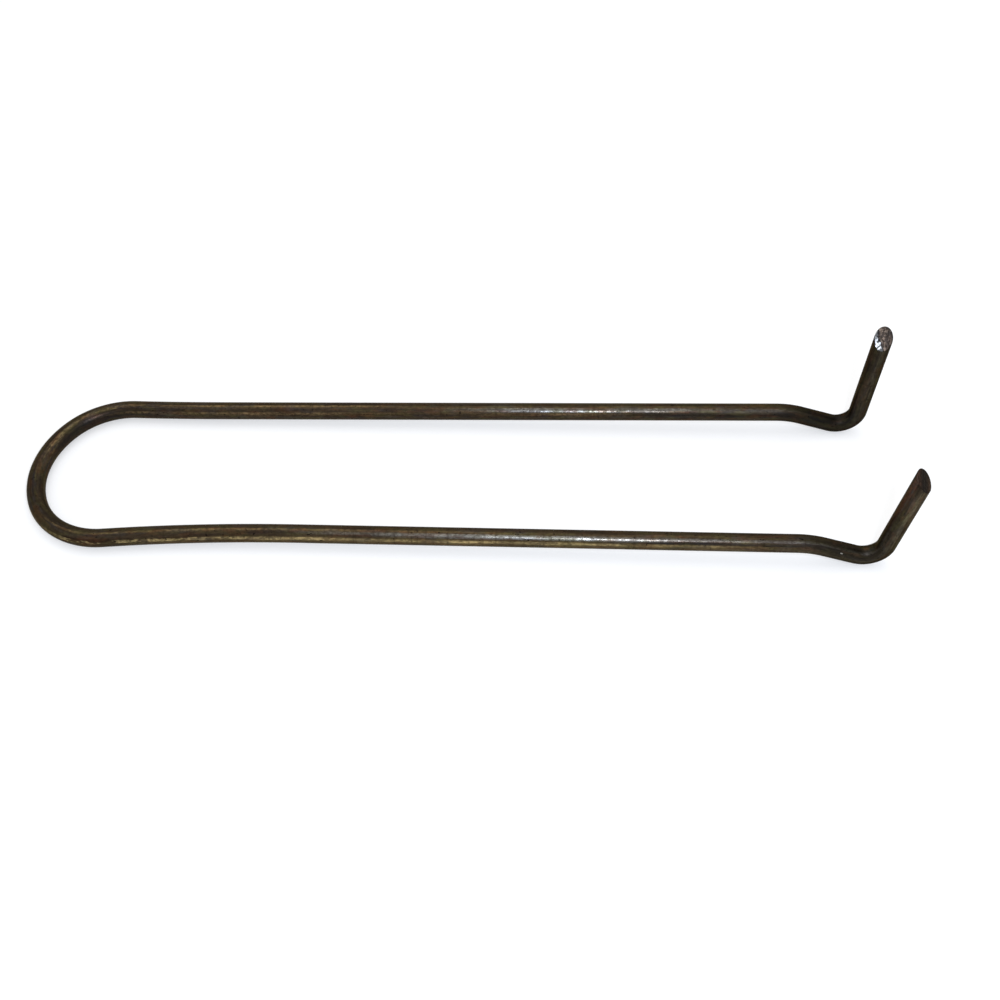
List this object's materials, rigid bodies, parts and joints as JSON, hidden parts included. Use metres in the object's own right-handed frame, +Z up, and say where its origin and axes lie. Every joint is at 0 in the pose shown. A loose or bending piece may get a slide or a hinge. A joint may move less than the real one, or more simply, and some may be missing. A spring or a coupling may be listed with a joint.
{
  "type": "pipe hook",
  "caption": "One-piece bent wire hook that hangs a pipe: a round crown, two long legs, and dropped shoulders that turn up into sheared driving prongs.",
  "frame": {"origin": "centre of the crown, on the axis of the pipe that it holds; the bench is 2.04 mm below it", "axes": "+X along the hook, from the crown towards the prongs; +Z up, away from the bench that the hook lies on, and within 6 degrees of the way that the prongs point; +Y to the left leg. The plane of the legs slopes up by 1.2 degrees towards the shoulders, as it does when the hook lies at rest"},
  "size_m": [0.1628, 0.0361, 0.0264],
  "materials": {
    "drawn_steel_wire": "cold-drawn steel wire with a dark bronze-brown, lightly oiled skin, brighter drawn streaks along the legs, and bare sheared points"
  },
  "bodies": {
    "root": {"wire_hook": "drawn_steel_wire"}
  },
  "joints": []
}
